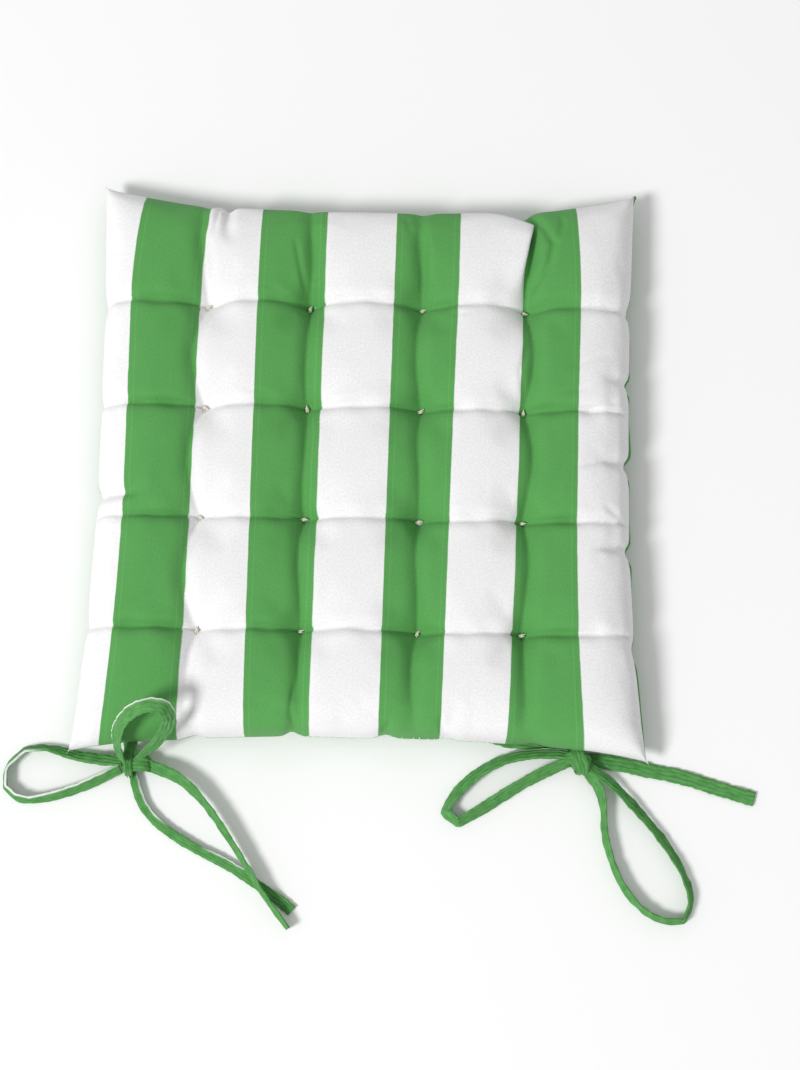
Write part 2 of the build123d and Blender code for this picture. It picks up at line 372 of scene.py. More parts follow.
# %% Make a tape along a line
tape_width = 0.010
tape_thickness = 0.0019
lane_angles = np.radians(np.linspace(-90, 90, 19))
lanes = np.sin(lane_angles)
tape_step = 0.0011
tape_twist = 9.0
crinkle_height = 0.00042
crinkles_across = 11.5
pale_from = 0.75


def ring_of_tape():
    """The tape's section: where each point is across the width, and on which face."""
    upper = [(lane, 1.0) for lane in lanes]
    lower = [(lane, -1.0) for lane in lanes[::-1][1:-1]]
    return np.array(upper + lower)


def tape_mesh(name, line, across, outward, widths, edges, seed, closed=False):
    """A flat folded tape. edges gives, at each step, how far the pale raw edge shows at +1 and at -1."""
    ring = ring_of_tape()
    travelled = np.concatenate([[0], np.cumsum(np.linalg.norm(np.diff(line, axis=0), axis=1))])
    crinkle_shift = 1.6 * uneven_wave(seed, travelled, (0.031, 0.013))
    crinkle_depth = crinkle_height * (1 + 0.6 * uneven_wave(seed + 1, travelled, (0.022, 0.009)))
    ragged = 1 + 0.11 * uneven_wave(seed + 2, travelled, (0.024, 0.009, 0.005))
    points, places, pale = [], [], []
    for station, place in enumerate(line):
        half = widths[station] / 2 * ragged[station]
        crowding = tape_width / widths[station]
        for lane, face in ring:
            body = tape_thickness / 2 * (1 - abs(lane) ** 5) ** 0.5
            crease = math.sin(crinkles_across * lane + crinkle_shift[station])
            height = face * body + crinkle_depth[station] * crowding * crease * (1 - lane**4)
            points.append(place + across[station] * half * lane + outward[station] * height)
            places.append((travelled[station], (lane + 1) * tape_width / 2 + (0.02 if face < 0 else 0)))
            edge = edges[station][0] if lane > 0 else edges[station][1]
            pale.append(edge * min(1.0, max(0.0, (abs(lane) - pale_from) / 0.08)))
    piece = new_piece(name, points, tube_faces(len(line), len(ring), closed), tape_cotton)
    put_on_map(piece.data, "cut", places)
    attribute = piece.data.attributes.new("raw_edge", "FLOAT", "POINT")
    attribute.data.foreach_set("value", np.array(pale, dtype=np.float32))
    return piece


def lay_of_tape(line, tilts, upright=(0, 0, 1)):
    """The width direction and outer face at each step, for a tape tilted from lying to standing."""
    travel = unit(np.gradient(line, axis=0))
    side = unit(np.cross(np.array(upright, float), travel))
    rise = np.cross(travel, side)
    angle = np.radians(tilts)[:, None]
    across = np.cos(angle) * side + np.sin(angle) * rise
    return across, np.cross(travel, across)


def along(line, marks):
    """A value at each step, from (share of the length, value) marks."""
    shares = np.linspace(0, 1, len(line))
    spread = np.interp(shares, [mark[0] for mark in marks], [mark[1] for mark in marks])
    smooth = np.convolve(np.pad(spread, 4, mode="edge"), np.ones(9) / 9, mode="valid")
    return smooth


def rest_on_ground(piece, lowest=0.0003):
    """Cloth can't go below the table: anything lower is lifted onto it."""
    for vertex in piece.data.vertices:
        vertex.co.z = max(vertex.co.z, lowest)


def lay_tape(name, corners, tilts, widths, left_edge, right_edge, seed, upright=(0, 0, 1)):
    """A tape along a route; its marks run from 0 at the first corner to 1 at the last."""
    line = even_steps(smooth_route(name, [[value / 1000 for value in corner] for corner in corners]),
                      tape_step)
    travelled = np.linspace(0, line_length(line), len(line))
    twist = along(line, tilts) + tape_twist * uneven_wave(seed + 7, travelled, (0.034, 0.017, 0.011))
    across, outward = lay_of_tape(line, twist, upright)
    edges = list(zip(along(line, left_edge), along(line, right_edge)))
    piece = tape_mesh(name + "_tape", line, across, outward, along(line, widths) / 1000, edges, seed)
    rest_on_ground(piece)
    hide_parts(name)
    print(f"{name}: {line_length(line) * 1000:.0f} mm of tape")
    return piece, line


# %% [markdown]
# ## The left bow
# One loop lies to the left with its far end standing on edge, the other stands up and leans over the
# pad, and two tails run away together and cross near their ends. Heights are in the routes: 1 mm is
# a tape lying flat, and 5 mm a tape standing on its edge.

# %% The left tie's route and tapes
left_knot_place = (-0.154, -0.208, 0.008)
right_knot_place = (0.150, -0.201, 0.008)
no_edge = [(0, 0), (1, 0)]

left_outer_loop, left_outer_line = lay_tape(
    "left_outer_loop",
    [(-160, -207, 8), (-178, -206, 7), (-195, -203, 6), (-212, -198, 5.6), (-227, -200, 5.3),
     (-227, -200, 5.3), (-240, -212, 5.2), (-239, -226, 5.2), (-239, -226, 5.2), (-229, -235, 5.2),
     (-212, -233, 5.2), (-195, -228, 5.6), (-178, -221, 6.4), (-161, -212, 8)],
    tilts=[(0, 20), (0.12, 25), (0.3, 58), (0.5, 78), (0.62, 62), (0.8, 45), (1, 25)],
    widths=[(0, 7.5), (0.08, 9), (0.5, 8.8), (0.9, 8.2), (1, 6.5)],
    left_edge=[(0, 0), (0.30, 0), (0.36, 1), (0.94, 1), (1, 0.2)],
    right_edge=no_edge, seed=11)

lean = math.radians(60)


def on_leaning_plane(corners):
    """A route drawn on the plane that the standing loop leans in."""
    return [(-154 + across, -208 + up * math.cos(lean), 17 + up * math.sin(lean)) for across, up in corners]


left_standing_loop, left_standing_line = lay_tape(
    "left_standing_loop",
    on_leaning_plane([(-5, 2), (-7, 14), (-7, 28), (-3, 43), (5, 56), (17, 64), (28, 62), (31, 49),
                      (27, 35), (19, 20), (7, 5)]),
    tilts=[(0, 130), (0.12, 138), (0.3, 138), (0.45, 124), (0.58, 134), (0.68, 158), (0.9, 166), (1, 150)],
    widths=[(0, 7.5), (0.12, 9), (0.5, 9.8), (0.75, 10.8), (0.88, 10), (1, 7)],
    left_edge=no_edge,
    right_edge=[(0, 0.2), (0.06, 1), (0.60, 1), (0.66, 0), (1, 0)],
    seed=23, upright=(0, -math.sin(lean), math.cos(lean)))

left_over_tail, left_over_line = lay_tape(
    "left_over_tail",
    [(-149, -208, 9), (-133, -212, 10), (-117, -220, 10.5), (-103, -234, 10.5), (-91, -250, 10),
     (-80, -266, 9), (-69, -283, 8), (-57, -301, 6.5), (-44, -317, 5.4)],
    tilts=[(0, 15), (0.12, 28), (0.3, 56), (0.7, 70), (1, 76)],
    widths=[(0, 8), (0.1, 9), (0.4, 8.6), (1, 8.8)],
    left_edge=no_edge, right_edge=no_edge, seed=37)

left_under_tail, left_under_line = lay_tape(
    "left_under_tail",
    [(-153, -214, 4.5), (-149, -231, 3.2), (-139, -245, 2.6), (-124, -256, 2.6), (-106, -266, 2.4),
     (-88, -274, 2.2), (-71, -284, 1.6), (-56, -294, 1.2), (-42, -305, 1.2)],
    tilts=[(0, 20), (0.2, 30), (0.6, 26), (0.8, 14), (1, 8)],
    widths=[(0, 6), (0.1, 7), (0.5, 7.2), (0.8, 8), (1, 8.2)],
    left_edge=[(0, 0), (0.06, 1), (0.26, 1), (0.3, 0), (0.5, 0), (0.55, 1), (0.86, 1), (0.9, 0), (1, 0)],
    right_edge=no_edge, seed=41)

# %% [markdown]
# ## The right bow
# Neither loop stands up. The inner one lies half over and is folded sharply at its tip, the lower one
# is long and runs on its edge, and the long tail lies flat with the cloth's lengthwise crinkles.
# Two corners at the same place in a route make a kink there.

# %% The right tie's route and tapes
right_inner_loop, right_inner_line = lay_tape(
    "right_inner_loop",
    [(144, -197, 9), (131, -196, 8), (116, -197, 7), (101, -200, 6), (87, -207, 5), (75, -216, 4.4),
     (65, -227, 4.2), (60, -237, 4.4), (60, -237, 4.4), (69, -244, 4.4), (69, -244, 4.4),
     (83, -236, 4.2), (98, -226, 4.6), (114, -216, 6), (129, -208, 7.5), (144, -202, 9)],
    tilts=[(0, 25), (0.15, 36), (0.4, 42), (0.53, 62), (0.66, 38), (0.85, 38), (1, 25)],
    widths=[(0, 7), (0.08, 9), (0.5, 10), (0.92, 9), (1, 7)],
    left_edge=no_edge,
    right_edge=[(0, 0), (0.06, 1), (0.2, 0.8), (0.3, 0), (1, 0)],
    seed=53)

right_lower_loop, right_lower_line = lay_tape(
    "right_lower_loop",
    [(154, -203, 9), (168, -211, 8.6), (182, -224, 7), (197, -240, 5.6), (211, -257, 5.3),
     (222, -275, 5.2), (228, -293, 5.2), (222, -307, 5.2), (222, -307, 5.2), (208, -308, 5.2),
     (193, -300, 5.2), (181, -286, 5.2), (173, -268, 5.3), (168, -249, 5.6), (168, -230, 6.6),
     (163, -215, 8), (153, -205, 9)],
    tilts=[(0, -30), (0.12, -42), (0.3, -48), (0.5, -74), (0.7, -74), (0.88, -70), (1, -25)],
    widths=[(0, 7), (0.06, 9), (0.5, 9.8), (0.94, 9), (1, 7)],
    left_edge=no_edge, right_edge=no_edge, seed=61)

right_long_tail, right_long_line = lay_tape(
    "right_long_tail",
    [(155, -199, 1.4), (175, -201, 1.2), (199, -206, 1.2), (223, -210, 1.2), (248, -218, 1.2),
     (271, -224, 1.2)],
    tilts=[(0, 0), (1, 2)],
    widths=[(0, 8.5), (0.12, 10), (1, 10)],
    left_edge=no_edge, right_edge=no_edge, seed=71)

right_short_tail, right_short_line = lay_tape(
    "right_short_tail",
    [(145, -196, 1.3), (131, -191, 1.2), (117, -188, 1.2), (103, -187.5, 1.2), (90, -184, 1.2),
     (77, -179, 1.2)],
    tilts=[(0, 0), (1, 0)],
    widths=[(0, 8.5), (0.12, 10), (1, 10)],
    left_edge=no_edge, right_edge=no_edge, seed=79)

# %% [markdown]
# ## The knots
# Seen close, a bow's knot is the same tape wrapped round a bundle of its own strands. A lump would
# hide that, so each knot is made of closed bands of tape that cross each other, over a small creased
# core. The bands are a little skewed and differ in width, because nobody ties a knot squarely.

# %% Wrap the knots
def wrapped_band(name, centre, turn_degrees, half_long, half_high, width, lift, seed, edge=0.0):
    """A closed band of tape round a bundle that runs in the direction turn_degrees gives."""
    heading = math.radians(turn_degrees)
    bundle = np.array([math.cos(heading), math.sin(heading), 0.0])
    sideways = np.array([-math.sin(heading), math.cos(heading), 0.0])
    upwards = np.array([0.0, 0.0, 1.0])
    steps = 56
    angles = np.linspace(0, 2 * math.pi, steps, endpoint=False)
    rounding = 0.72
    reach = np.sign(np.cos(angles)) * np.abs(np.cos(angles)) ** rounding * half_long
    climb = np.sign(np.sin(angles)) * np.abs(np.sin(angles)) ** rounding * half_high
    skew = 0.0012 * np.sin(angles + seed) + 0.0006 * np.sin(2 * angles + 1.7 * seed)
    line = (np.array(centre)[None] + reach[:, None] * sideways + (climb + lift)[:, None] * upwards
            + skew[:, None] * bundle)
    travel = unit(np.roll(line, -1, axis=0) - np.roll(line, 1, axis=0))
    outward = unit(np.cross(travel, bundle[None]))
    middle = line - np.mean(line, axis=0)
    if float((outward * middle).sum()) < 0:
        outward = -outward
    across = np.cross(outward, travel)
    widths = width * (1 + 0.08 * np.sin(2 * angles + seed))
    edges = [(edge if math.sin(angle) > -0.2 else 0.0, 0.0) for angle in angles]
    return tape_mesh(name, line, across, outward, widths, edges, seed, closed=True)


def join_pieces(name, parts):
    """One object from several made of the same finish."""
    with bpy.context.temp_override(active_object=parts[0], selected_editable_objects=parts,
                                   selected_objects=parts, object=parts[0]):
        bpy.ops.object.join()
    parts[0].name = name
    parts[0].data.name = name
    return parts[0]


left_knot = join_pieces("left_knot_wraps", [
    wrapped_band("left_band_across", (-0.1500, -0.2085, 0.008), 94, 0.0085, 0.0056, 0.0094, 0.0002, 3),
    wrapped_band("left_band_along", (-0.1555, -0.2080, 0.008), -7, 0.0084, 0.0070, 0.0056, 0.0006, 5),
    wrapped_band("left_band_core", left_knot_place, 47, 0.0046, 0.0050, 0.0090, 0.0000, 8),
])
right_knot = join_pieces("right_knot_wraps", [
    wrapped_band("right_band_across", right_knot_place, 82, 0.0078, 0.0056, 0.0080, 0.0002, 13),
    wrapped_band("right_band_along", (0.1510, -0.2015, 0.008), 8, 0.0080, 0.0070, 0.0088, 0.0006, 17),
    wrapped_band("right_band_core", right_knot_place, 130, 0.0046, 0.0050, 0.0090, 0.0000, 19),
])
for knot, node in ((left_knot, "left_knot"), (right_knot, "right_knot")):
    rest_on_ground(knot)
    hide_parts(node)
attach(left_knot, "left_bow")
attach(right_knot, "right_bow")
print("knots wrapped:", left_knot.name, right_knot.name)

# %% Say what each tape is
tie_tapes = [
    (left_outer_loop, left_outer_line, "left_bow", left_knot_place, 0.182, "object", [left_knot]),
    (left_standing_loop, left_standing_line, "left_bow", left_knot_place, 0.145, "object", []),
    (left_over_tail, left_over_line, "left_tails", left_knot_place, 0.156, "bare", []),
    (left_under_tail, left_under_line, "left_tails", left_knot_place, 0.149, "bare", []),
    (right_inner_loop, right_inner_line, "right_bow", right_knot_place, 0.193, "object", [right_knot]),
    (right_lower_loop, right_lower_line, "right_bow", right_knot_place, 0.269, "object", []),
    (right_long_tail, right_long_line, "right_tail", right_knot_place, 0.119, "bare", []),
    (right_short_tail, right_short_line, "right_bow", right_knot_place, 0.070, "bare", []),
]
for piece, line, body, knot_place, length, far_end, with_pieces in tie_tapes:
    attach(piece, body)
print("tapes declared:", len(tie_tapes))

# %% [markdown]
# ## The pad
# The bag is two squares of cloth, each cut 434 mm wide, sewn together round the edge. The stuffing
# pushes them apart and the tufts hold them together, so the outline shrinks to about 396 mm and the
# cloth gathers into folds between the tufts. Sculpting those folds by hand looks stiff. Here the
# gathered cloth is laid near its final place, with its real cut size as the rest shape, and a short
# cloth simulation with air pressure inside finds the folds.

# %% The sizes of the bag
cut_half_width = 0.217
cells = 130
cell_size = 2 * cut_half_width / cells
tuft_lines = [28, 53, 77, 102]
seam_level = 0.015

tuft_boxes = [[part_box(f"tuft_row{row}_column{column}") for column in (1, 2, 3, 4)] for row in (1, 2, 3, 4)]
tuft_columns = [(tuft_boxes[0][column][0].x + tuft_boxes[0][column][1].x) / 2 for column in range(4)]
tuft_rows = [(tuft_boxes[row][0][0].y + tuft_boxes[row][0][1].y) / 2 for row in range(4)]
tuft_top = tuft_boxes[0][0][1].z - 0.0009
tuft_bottom = tuft_boxes[0][0][0].z + 0.0009
print("tuft columns, m:", [round(value, 3) for value in tuft_columns])
print("tuft rows, m:", [round(value, 3) for value in tuft_rows])


# Half the pad's width at the middle and at its front and rear corners, and its reach to the middle of
# the front and rear seams, with how far the corners stand out beyond those
half_width_middle, half_width_front, half_width_rear = 0.186, 0.190, 0.198
front_reach, rear_reach = 0.184, 0.190
front_corner, rear_corner = 0.020, 0.014


def seam_across(side, share):
    """How far the left or right seam lies from the middle, at a share of the depth from -1 to 1."""
    corner = half_width_front if share > 0 else half_width_rear
    return side * (half_width_middle + (corner - half_width_middle) * abs(share) ** 2.6)


def seam_along(side, share):
    """The same for the rear or front seam, at a share of the width."""
    if side > 0:
        return front_reach + front_corner * abs(share) ** 2.8
    return -(rear_reach + rear_corner * abs(share) ** 3.0)


# Where the seam is pinched: its side, the place along it, how far in, and how long the fold is
seam_pinches = [
    ("left", -0.12, 0.0060, 0.055), ("left", 0.19, 0.0018, 0.030), ("left", 0.56, 0.0020, 0.025),
    ("left", -0.56, 0.0022, 0.030), ("right", 0.58, 0.0034, 0.040), ("right", 0.31, 0.0046, 0.038),
    ("right", 0.02, 0.0064, 0.042), ("right", -0.27, 0.0050, 0.040), ("right", -0.60, 0.0026, 0.030),
    ("front", -0.505, 0.0066, 0.052), ("front", 0.575, 0.0070, 0.056), ("front", -0.20, 0.0016, 0.028),
    ("front", 0.19, 0.0016, 0.030), ("rear", -0.21, 0.0034, 0.034), ("rear", 0.09, 0.0026, 0.026),
    ("rear", 0.30, 0.0020, 0.024), ("rear", -0.56, 0.0028, 0.030), ("rear", 0.60, 0.0020, 0.026),
]
pinch_width = 0.026
pinch_reach = 0.012
pinch_fold_gain = 1.5


def bell(distance, width):
    """1 at no distance, falling off smoothly over about the width."""
    return math.exp(-((distance / width) ** 2))


def pinch_at(side, share):
    """How far the seam is drawn in at a place along one side."""
    return sum(depth * bell(share - place, pinch_width)
               for on_side, place, depth, _ in seam_pinches if on_side == side)


def pinch_fold(side, share, inset):
    """How deep the fold that runs in from the pinches is, at a distance from the seam."""
    total = 0.0
    for on_side, place, depth, reach in seam_pinches:
        if on_side != side or inset > reach:
            continue
        narrow = pinch_width * (0.45 + 0.35 * inset / reach)
        fade = (1 - inset / reach) ** 0.7
        total += pinch_fold_gain * depth * bell(share - place, narrow) * fade
    return total


# %% [markdown]
# ## Where the cloth starts
# A simulation finds the folds that it is started near, so most of the work is in the start. Cloth
# rises steeply from the seam to a rounded shoulder, runs level over the filling and dips at each tuft.
# The lists give the cloth used, the ground covered and the height reached, from the seam inwards.

# %% How the cloth gathers
cloth_from_seam = np.array([0, 12, 23, 36, 53]) / 1000
run_from_seam = np.array([0, 2.5, 9, 20, 36]) / 1000
steep_run_from_seam = np.array([0, 0.5, 4, 15, 32]) / 1000
rise_from_seam = [(0, 15), (12, 27.5), (23, 37), (36, 43), (53, 45.5), (80, 46.5)]


def gathered(step, low_seam, tufts, high_seam, is_top, steep=0.0):
    """Where a grid line of the cut cloth lands across the pad, between its two seams."""
    marks = [0] + tuft_lines + [cells]
    places = [low_seam] + list(tufts) + [high_seam]
    if is_top:
        shoulder = cloth_from_seam / cell_size
        marks = list(shoulder) + tuft_lines + [cells - value for value in shoulder[::-1]]
        places = ([low_seam + run for run in run_from_seam] + list(tufts)
                  + [high_seam - run
                     for run in (run_from_seam * (1 - steep) + steep_run_from_seam * steep)[::-1]])
    return float(np.interp(step, marks, places))


def eased(value):
    """0 below 0 and 1 above 1, with a smooth step between."""
    value = max(0.0, min(1.0, value))
    return value * value * (3 - 2 * value)


# %% [markdown]
# ## Folds between the tufts
# A fold joins each tuft to its neighbours along the row and the column. Straight folds look like a
# grid drawn with a ruler, so each one bows by a set amount and sways by a random one, from a fixed seed.

# %% Where the folds run
fold_draw = random.Random(29)
row_waves = [[fold_draw.uniform(-1, 1) for _ in range(10)] for _ in range(4)]
column_waves = [[fold_draw.uniform(-1, 1) for _ in range(10)] for _ in range(4)]
cell_push = [[fold_draw.uniform(0.78, 1.0) for _ in range(5)] for _ in range(5)]
tuft_sink = [[fold_draw.uniform(-0.0012, 0.0022) for _ in range(4)] for _ in range(4)]
row_sway = 0.0012
column_sway = 0.0018
row_bow = [0.0006, -0.0004, 0.0008, 0.0028]
column_bow = [-0.0085, -0.0016, -0.0022, 0.0060]


def between_tufts(step):
    """Which gap between grid tufts a step is in, and how far through it."""
    marks = [0] + tuft_lines + [cells]
    step = max(0.0, min(step, cells))
    gap = max(index for index in range(5) if marks[index] <= min(step, cells - 1))
    return gap, (step - marks[gap]) / (marks[gap + 1] - marks[gap])


def sway(waves, step, reach, bow):
    """How far a fold strays to one side of the straight line between its tufts."""
    gap, through = between_tufts(step)
    share = 0.5 if gap in (0, 4) else 1.0
    first = (waves[gap] * reach + bow * share) * math.sin(math.pi * through)
    second = waves[gap + 5] * math.sin(2 * math.pi * through) * 0.6 * reach
    return first + second


def nearest_fold(across_step, along_step):
    """The distances to the nearest column fold and row fold, and which ones they are."""
    column = min(range(4), key=lambda index: abs(across_step - tuft_lines[index]))
    row = min(range(4), key=lambda index: abs(along_step - tuft_lines[index]))
    to_column = (across_step - tuft_lines[column]) * cell_size
    to_column -= sway(column_waves[column], along_step, column_sway, column_bow[column])
    to_row = (along_step - tuft_lines[row]) * cell_size
    to_row -= sway(row_waves[row], across_step, row_sway, row_bow[row])
    return to_column, to_row, column, row


# %% Lay the two panels
pucker_height = 0.0016
dimple_radius = 0.0125
# Half width, depth and hold of the folds along the rows and the columns of tufts
row_fold = (0.0032, 0.0070, 0.55)
column_fold = (0.0048, 0.0090, 0.45)
# How much of a fold's depth is left where it meets the seam, and the half width of its hold
fold_left_at_seam = 0.22
held_half_width = 0.0022
seam_grip = 0.22
puckers = random.Random(5)
pucker_marks = [[(puckers.uniform(-0.95, 0.95), puckers.uniform(-1, 1), puckers.uniform(0.016, 0.034))
                 for _ in range(15)] for _ in range(4)]
side_names = ("left", "right", "rear", "front")


def pucker(side, share):
    """A small lift or dip of the cloth beside one of the four seams."""
    total = 0.0
    for place, size, width in pucker_marks[side]:
        total += size * bell(share - place, width)
    return total


def top_height(across_step, along_step):
    """The top panel's height before the air goes in, and how firmly the cloth is held there."""
    in_across = min(across_step, cells - across_step) * cell_size
    in_along = min(along_step, cells - along_step) * cell_size
    inset = 1 / math.sqrt(1 / max(in_across, 1e-6) ** 2 + 1 / max(in_along, 1e-6) ** 2)
    crown = float(np.interp(inset * 1000, *zip(*rise_from_seam))) / 1000
    to_column, to_row, column, row = nearest_fold(across_step, along_step)
    share_x, share_y = shares_of(across_step, along_step)
    near_seam = [(in_across, 0 if share_x < 0 else 1, share_y), (in_along, 2 if share_y < 0 else 3, share_x)]
    for distance, side, share in near_seam:
        crown += pucker_height * pucker(side, share) * math.exp(-distance / 0.016) * eased(distance / 0.006)
        crown -= pinch_fold(side_names[side], share, distance) * eased(distance / 0.004)
    drop, hold = 0.0, 0.0
    folds = (
        (to_row, across_step, *row_fold),
        (to_column, along_step, *column_fold),
    )
    for distance, step, width, depth, grip in folds:
        gap, through = between_tufts(step)
        outer = gap in (0, 4)
        fade = 1.0
        if outer:
            fade = through if gap == 0 else 1 - through
            fade = fold_left_at_seam + (1 - fold_left_at_seam) * eased(fade * 1.15)
        middle = math.sin(math.pi * through) if not outer else 1 - fade
        this_depth = depth * fade * (1 - 0.35 * middle)
        fall = math.exp(-(abs(distance) / width) ** 1.5)
        drop = max(drop, this_depth * fall)
        hold = max(hold, grip * fade * bell(distance, held_half_width))
    apart = math.hypot((across_step - tuft_lines[column]) * cell_size,
                       (along_step - tuft_lines[row]) * cell_size)
    dimple = math.exp(-((apart / dimple_radius) ** 1.3))
    floor_level = tuft_top - tuft_sink[row][column]
    height = (crown - drop) * (1 - dimple) + floor_level * dimple
    return height, hold


underside_level = 0.001
underside_lift = 0.014
underside_lift_reach = 0.044
underside_dimple = 0.005


def bottom_height(across_step, along_step):
    """The underside is flat on the seat, with shallow dimples, and lifts to the seam at its edge."""
    inset = min(across_step, cells - across_step, along_step, cells - along_step) * cell_size
    apart = min(math.hypot((across_step - a) * cell_size, (along_step - b) * cell_size)
                for a in tuft_lines for b in tuft_lines)
    lift = underside_lift * (1 - eased(inset / underside_lift_reach))
    height = underside_level + lift + underside_dimple * bell(apart, 0.012)
    return height, 0.3 if inset > 0.05 else 0.0


def on_edge(across_step, along_step):
    return across_step in (0, cells) or along_step in (0, cells)


def shares_of(across_step, along_step):
    """A grid point's place on the cloth, from -1 to 1 each way."""
    return 2 * across_step / cells - 1, 2 * along_step / cells - 1


number_of = {}
start_places, cut_places, grips, pushes = [], [], [], []
for panel in ("top", "bottom"):
    for along_step in range(cells + 1):
        for across_step in range(cells + 1):
            if panel == "bottom" and on_edge(across_step, along_step):
                number_of[panel, across_step, along_step] = number_of["top", across_step, along_step]
                continue
            number_of[panel, across_step, along_step] = len(start_places)
            share_x, share_y = shares_of(across_step, along_step)
            is_top = panel == "top"
            left, right = seam_across(-1, share_y), seam_across(1, share_y)
            rear, front = seam_along(-1, share_x), seam_along(1, share_x)
            middle_share = 1 - eased((abs(share_x) - 0.45) / 0.25)
            x = gathered(across_step, left, tuft_columns, right, is_top)
            y = gathered(along_step, rear, tuft_rows, front, is_top, steep=middle_share)
            x += pinch_at("left", share_y) * math.exp(-across_step * cell_size / pinch_reach)
            x -= pinch_at("right", share_y) * math.exp(-(cells - across_step) * cell_size / pinch_reach)
            y += pinch_at("rear", share_x) * math.exp(-along_step * cell_size / pinch_reach)
            y -= pinch_at("front", share_x) * math.exp(-(cells - along_step) * cell_size / pinch_reach)
            z, grip = (top_height if is_top else bottom_height)(across_step, along_step)
            if on_edge(across_step, along_step):
                z, grip = seam_level, seam_grip
            push = 1.0
            if is_top:
                gap_x, gap_y = between_tufts(across_step)[0], between_tufts(along_step)[0]
                push = cell_push[gap_y][gap_x]
                to_column, to_row, _, _ = nearest_fold(across_step, along_step)
                push *= 1 - 0.75 * bell(to_row, 0.0035)
                push *= 1 - 0.6 * bell(to_column, 0.0045)
            start_places.append((x, y, z))
            cut_places.append((share_x * cut_half_width, share_y * cut_half_width, seam_level))
            grips.append(grip)
            pushes.append(push)

held_fast = []
for row, along_step in enumerate(tuft_lines):
    for column, across_step in enumerate(tuft_lines):
        for panel, level in (("top", tuft_top - tuft_sink[row][column]), ("bottom", tuft_bottom)):
            for aside in (-1, 0, 1):
                number = number_of[panel, across_step + aside, along_step]
                start_places[number] = (tuft_columns[column] + aside * 0.0016, tuft_rows[row], level)
                held_fast.append(number)
print("cloth points:", len(start_places), "held by tufts:", len(held_fast))

# %% [markdown]
# ## Blow it up
# The whole bag is one closed mesh here, so that air pressure can push outwards on both panels. Three
# things shape it: the cut size as the rest shape, a vertex group that holds the tufts fast and the
# fold lines and seam loosely, and a second group that takes the pressure off the folds. Gravity is
# off, because the filling carries the cloth. A floor that pushes back keeps the underside flat.

# %% Run the cloth
def grid_faces(panel, stride):
    """The squares of one panel between every stride-th grid line, facing outwards."""
    faces = []
    for along_step in range(0, cells, stride):
        for across_step in range(0, cells, stride):
            face = [number_of[panel, across_step + a, along_step + b]
                    for a, b in ((0, 0), (stride, 0), (stride, stride), (0, stride))]
            faces.append(face if panel == "top" else face[::-1])
    return faces


def own_numbers(faces):
    """The bag's points that some faces use, with those points' new numbers, and the faces in them."""
    used = sorted({number for face in faces for number in face})
    local = {number: index for index, number in enumerate(used)}
    return used, local, [[local[number] for number in face] for face in faces]


panel_faces = {panel: grid_faces(panel, 1) for panel in ("top", "bottom")}

cloth_slack = 1.03
simulated_frames = 24
cloth_settings = {
    "quality": 4,
    "mass": 0.001,
    "tension_stiffness": 80,
    "compression_stiffness": 80,
    "shear_stiffness": 20,
    "bending_stiffness": 0.05,
    "tension_damping": 5,
    "compression_damping": 5,
    "shear_damping": 5,
    "air_damping": 1,
    "use_pressure": True,
    "uniform_pressure_force": 20,
    "vertex_group_pressure": "pressed",
    "vertex_group_mass": "held",
    "pin_stiffness": 1.0,
}


def blow_up(places):
    """The places of the bag's points after a short cloth simulation."""
    mesh = bpy.data.meshes.new("bag")
    mesh.from_pydata(places, [], panel_faces["top"] + panel_faces["bottom"])
    bag = bpy.data.objects.new("bag", mesh)
    scene.collection.objects.link(bag)
    bag.shape_key_add(name="gathered")
    rest = bag.shape_key_add(name="as cut")
    stretched = np.array(cut_places) * (cloth_slack, cloth_slack, 1.0)
    rest.data.foreach_set("co", stretched.astype(np.float32).ravel())
    held = bag.vertex_groups.new(name="held")
    pressed = bag.vertex_groups.new(name="pressed")
    for number, grip in enumerate(grips):
        if grip > 0.01:
            held.add([number], min(grip, 1.0), "REPLACE")
        pressed.add([number], pushes[number], "REPLACE")
    held.add(held_fast, 1.0, "REPLACE")
    cloth = bag.modifiers.new("cloth", "CLOTH")
    settings = cloth.settings
    for setting, value in cloth_settings.items():
        setattr(settings, setting, value)
    settings.rest_shape_key = rest
    settings.effector_weights.gravity = 0
    cloth.collision_settings.use_collision = True
    cloth.collision_settings.distance_min = 0.001
    ground_mesh = bpy.data.meshes.new("seat")
    ground_mesh.from_pydata([(-1, -1, -0.001), (1, -1, -0.001), (1, 1, -0.001), (-1, 1, -0.001)],
                            [], [(0, 1, 2, 3)])
    ground = bpy.data.objects.new("seat", ground_mesh)
    scene.collection.objects.link(ground)
    ground.modifiers.new("push back", "COLLISION")
    ground.collision.thickness_outer = 0.001
    scene.frame_start = 1
    scene.frame_end = simulated_frames
    cloth.point_cache.frame_end = simulated_frames
    for step in range(1, simulated_frames + 1):
        scene.frame_set(step)
    shaped = bag.evaluated_get(bpy.context.evaluated_depsgraph_get()).to_mesh()
    result = np.empty(len(shaped.vertices) * 3)
    shaped.vertices.foreach_get("co", result)
    for thing, data, store in ((bag, mesh, bpy.data.meshes), (ground, ground_mesh, bpy.data.meshes)):
        bpy.data.objects.remove(thing)
        store.remove(data)
    scene.frame_set(1)
    return result.reshape(-1, 3)


bag_places = blow_up(start_places)
lowest_cloth = 0.0003
bag_places[:, 2] = np.maximum(bag_places[:, 2], lowest_cloth)
print("cloth frames run:", simulated_frames)
